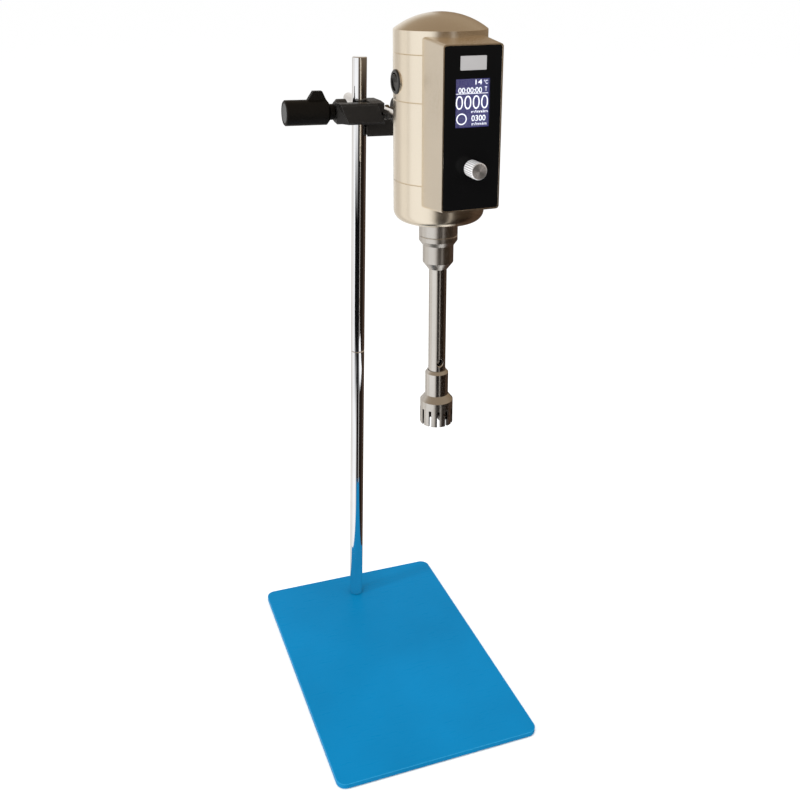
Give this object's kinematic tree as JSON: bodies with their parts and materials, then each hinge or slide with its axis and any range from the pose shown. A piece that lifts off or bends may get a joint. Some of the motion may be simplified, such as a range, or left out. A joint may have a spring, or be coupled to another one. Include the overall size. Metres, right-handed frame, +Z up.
{
  "type": "rotor stator homogenizer",
  "caption": "Benchtop rotor stator homogenizer: motor head with control box and slotted stator stem, held by a boss head on a rod stand with a flat base.",
  "frame": {"origin": "centre of the underside of the base, on the bench top", "axes": "+Z up along the stand rod, the control panel faces -Y, +X to the user's right when facing the panel"},
  "size_m": [0.22, 0.403, 0.731],
  "materials": {
    "housing_gold": "champagne-gold satin coating",
    "blue_plate": "smooth blue powder coating",
    "rod_chrome": "polished chrome",
    "stem_steel": "polished stainless steel",
    "fine_steel": "turned steel",
    "clamp_black": "black stove enamel on cast aluminium",
    "knob_black": "black moulded plastic",
    "panel_black": "gloss black",
    "window_clear": "clear tinted window",
    "display_blue": "blue display with white segments",
    "badge_grey": "brushed blank badge",
    "knob_metal": "turned and knurled aluminium",
    "mat_rubber": "black rubber",
    "gland_black": "black polyamide",
    "board_green": "circuit board",
    "core_steel": "stacked steel sheets",
    "coil_copper": "varnished copper wire",
    "brass_parts": "brass",
    "carbon": "pressed carbon",
    "bush_white": "white fluoropolymer",
    "bridge_aluminium": "die-cast aluminium",
    "bearing_steel": "ground bearing steel"
  },
  "bodies": {
    "base": {"rubber_mat": "mat_rubber", "base_plate": "blue_plate"},
    "column": {"foot_screw": "fine_steel", "lower_rod": "rod_chrome", "rod_stud": "fine_steel", "upper_rod": "rod_chrome"},
    "clamp": {"boss_head": "clamp_black"},
    "rod_pad": {"rod_clamp_pad": "brass_parts"},
    "rod_knob": {"rod_clamp_screw": "fine_steel", "rod_clamp_knob": "knob_black"},
    "arm_pad": {"arm_clamp_pad": "brass_parts"},
    "arm_knob": {"arm_clamp_screw": "fine_steel", "arm_clamp_knob": "knob_black"},
    "arm": {"support_arm": "stem_steel"},
    "head": {"arm_locknut": "fine_steel", "top_cap": "housing_gold", "switch_ring": "housing_gold", "motor_housing": "housing_gold", "bottom_bell": "housing_gold", "control_box": "housing_gold", "control_panel": "panel_black", "display_window": "window_clear", "display_module": "display_blue", "badge_plate": "badge_grey", "control_board": "board_green", "board_screws": "fine_steel", "encoder_body": "panel_black", "encoder_nut": "fine_steel", "switch_bezel": "gland_black", "cable_gland": "gland_black", "field_core": "core_steel", "field_coils": "coil_copper", "bearing_bridge": "bridge_aluminium", "brush_holders": "brass_parts", "carbon_brushes": "carbon", "upper_bearing": "bearing_steel", "lower_bearing": "bearing_steel", "union_nut": "stem_steel", "stem_sleeve": "stem_steel", "stem_tube": "stem_steel", "stem_bushes": "bush_white", "stator_head": "stem_steel"},
    "drive": {"motor_shaft": "fine_steel", "armature_core": "core_steel", "armature_windings": "coil_copper", "commutator": "coil_copper", "cooling_fan": "bush_white", "shaft_coupling": "bridge_aluminium", "drive_shaft": "stem_steel", "rotor": "stem_steel", "rotor_screw": "fine_steel"},
    "encoder": {"encoder_hub": "bush_white"},
    "knob": {"encoder_shaft": "fine_steel", "speed_knob": "knob_metal"},
    "rocker": {"power_rocker": "knob_black"}
  },
  "joints": [
    {"name": "rod_swivel", "type": "hinge", "parent": "base", "child": "column", "pos_m": [0, 0.126, 0.0065], "axis": [0, 0, 1], "continuous": true},
    {"name": "height_slide", "type": "slide", "parent": "column", "child": "clamp", "axis": [0, 0, 1], "range_m": [-0.31, 0.04]},
    {"name": "arm_slide", "type": "slide", "parent": "clamp", "child": "arm", "axis": [0, 1, 0], "range_m": [-0.095, 0.077]},
    {"name": "head_roll", "type": "hinge", "parent": "arm", "child": "head", "pos_m": [0.024, -0.041, 0.621], "axis": [0, 1, 0], "range_deg": [-90, 90]},
    {"name": "rod_pad_press", "type": "slide", "parent": "clamp", "child": "rod_pad", "axis": [1, 0, 0], "range_m": [-0.00375, 0]},
    {"name": "rod_knob_turn", "type": "hinge", "parent": "rod_pad", "child": "rod_knob", "pos_m": [0, 0.126, 0.621], "axis": [1, 0, 0], "range_deg": [-1080, 0]},
    {"name": "arm_pad_press", "type": "slide", "parent": "clamp", "child": "arm_pad", "axis": [-1, 0, 0], "range_m": [-0.00375, 0]},
    {"name": "arm_knob_turn", "type": "hinge", "parent": "arm_pad", "child": "arm_knob", "pos_m": [0.024, 0.126, 0.621], "axis": [-1, 0, 0], "range_deg": [-1080, 0]},
    {"name": "drive_spin", "type": "hinge", "parent": "head", "child": "drive", "pos_m": [0.024, -0.041, 0.621], "axis": [-0.0244, 0, 0.9997], "continuous": true},
    {"name": "speed_turn", "type": "hinge", "parent": "head", "child": "encoder", "pos_m": [0.02444, -0.113, 0.60301], "axis": [0, 1, 0], "continuous": true},
    {"name": "speed_press", "type": "slide", "parent": "encoder", "child": "knob", "axis": [0, 1, 0], "range_m": [0, 0.0005], "stiffness_N_per_m": 2000, "springref_m": -0.001},
    {"name": "power_tilt", "type": "hinge", "parent": "head", "child": "rocker", "pos_m": [-0.01821, -0.041, 0.66998], "axis": [0, 1, 0], "range_deg": [0, 18]}
  ],
  "couplings": [
    {"joint": "rod_knob_turn", "follows": "rod_pad_press", "rad_per_m": 5026.5},
    {"joint": "arm_knob_turn", "follows": "arm_pad_press", "rad_per_m": 5026.5}
  ]
}
